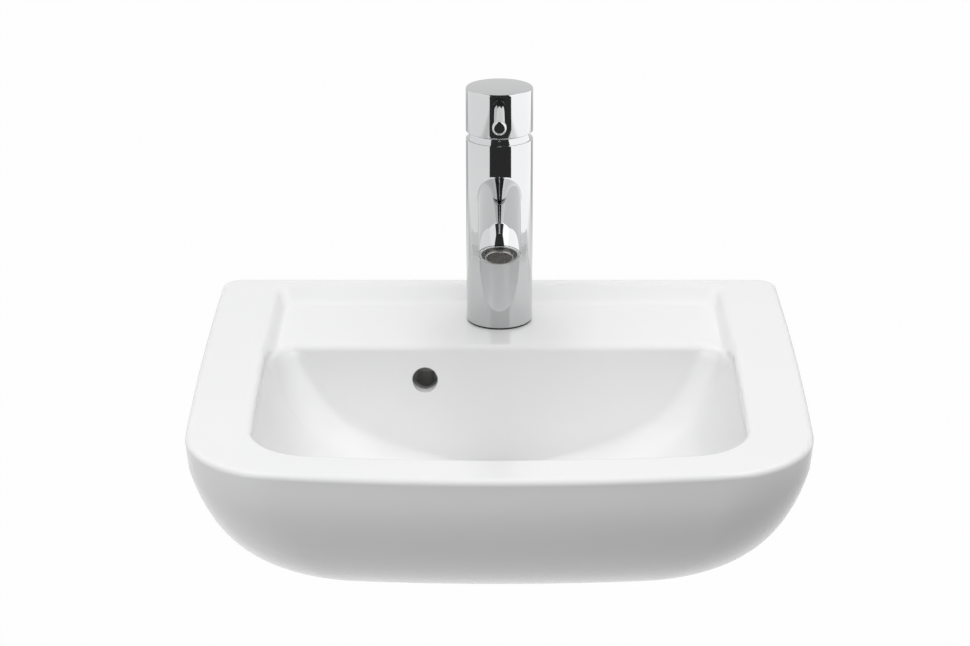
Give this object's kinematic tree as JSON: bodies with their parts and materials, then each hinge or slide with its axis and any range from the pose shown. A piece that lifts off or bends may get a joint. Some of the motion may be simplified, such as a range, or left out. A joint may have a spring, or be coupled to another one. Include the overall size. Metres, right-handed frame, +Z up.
{
  "type": "hand basin",
  "caption": "Small wall-hung glazed hand basin with a raised rim, a tap ledge, an overflow, a single-lever chrome mixer and a click waste.",
  "frame": {"origin": "on the wall face, midway between the two wall fixing holes", "axes": "+X to the right of someone standing at the basin, +Y into the wall, +Z up"},
  "size_m": [0.4, 0.3449, 0.3016],
  "materials": {
    "glazed_ceramic": "gloss white glaze",
    "tap_chrome": "polished chrome plate",
    "aerator_plastic": "moulded dark grey",
    "seal_rubber": "moulded black",
    "cartridge_plastic": "moulded off-white",
    "disc_ceramic": "lapped",
    "brass": "turned",
    "steel": "drawn, zinc plated"
  },
  "bodies": {
    "root": {"basin": "glazed_ceramic", "tap_body": "tap_chrome", "spout": "tap_chrome", "aerator_shell": "tap_chrome", "aerator_insert": "aerator_plastic", "aerator_washer": "seal_rubber", "cartridge_base": "cartridge_plastic", "cartridge_seals": "seal_rubber", "fixed_disc": "disc_ceramic", "cartridge_housing": "cartridge_plastic", "retaining_nut": "brass", "cover_ring": "tap_chrome", "base_gasket": "seal_rubber", "mounting_stud": "steel", "clamp_seal": "seal_rubber", "clamp_plate": "steel", "stud_nut": "brass", "waste_body": "tap_chrome", "waste_flange_seal": "seal_rubber", "waste_lower_seal": "seal_rubber", "waste_washer": "cartridge_plastic", "waste_backnut": "brass", "click_guide": "cartridge_plastic"},
    "turret": {"turret": "cartridge_plastic", "stem_pivot_pin": "steel"},
    "handle": {"lever_stem": "steel", "handle_cap": "tap_chrome", "lever_pin": "tap_chrome", "handle_screw": "steel"},
    "mixing_disc": {"moving_disc": "disc_ceramic", "disc_carrier": "cartridge_plastic"},
    "plug": {"plug_cap": "tap_chrome", "plug_seal": "seal_rubber", "plug_stem": "brass"}
  },
  "joints": [
    {"name": "temperature_turn", "type": "hinge", "parent": "root", "child": "turret", "pos_m": [0, -0.057, 0.17], "axis": [0, 0, 1], "range_deg": [-45, 45]},
    {"name": "flow_lift", "type": "hinge", "parent": "turret", "child": "handle", "pos_m": [0, -0.057, 0.1795], "axis": [-1, 0, 0], "range_deg": [0, 11]},
    {"name": "disc_slide", "type": "slide", "parent": "turret", "child": "mixing_disc", "axis": [0, -1, 0], "range_m": [0, 0.0046]},
    {"name": "plug_click", "type": "slide", "parent": "root", "child": "plug", "axis": [0, 0, 1], "range_m": [0, 0.008]}
  ],
  "couplings": [
    {"joint": "disc_slide", "follows": "flow_lift", "m_per_rad": 0.02365}
  ]
}
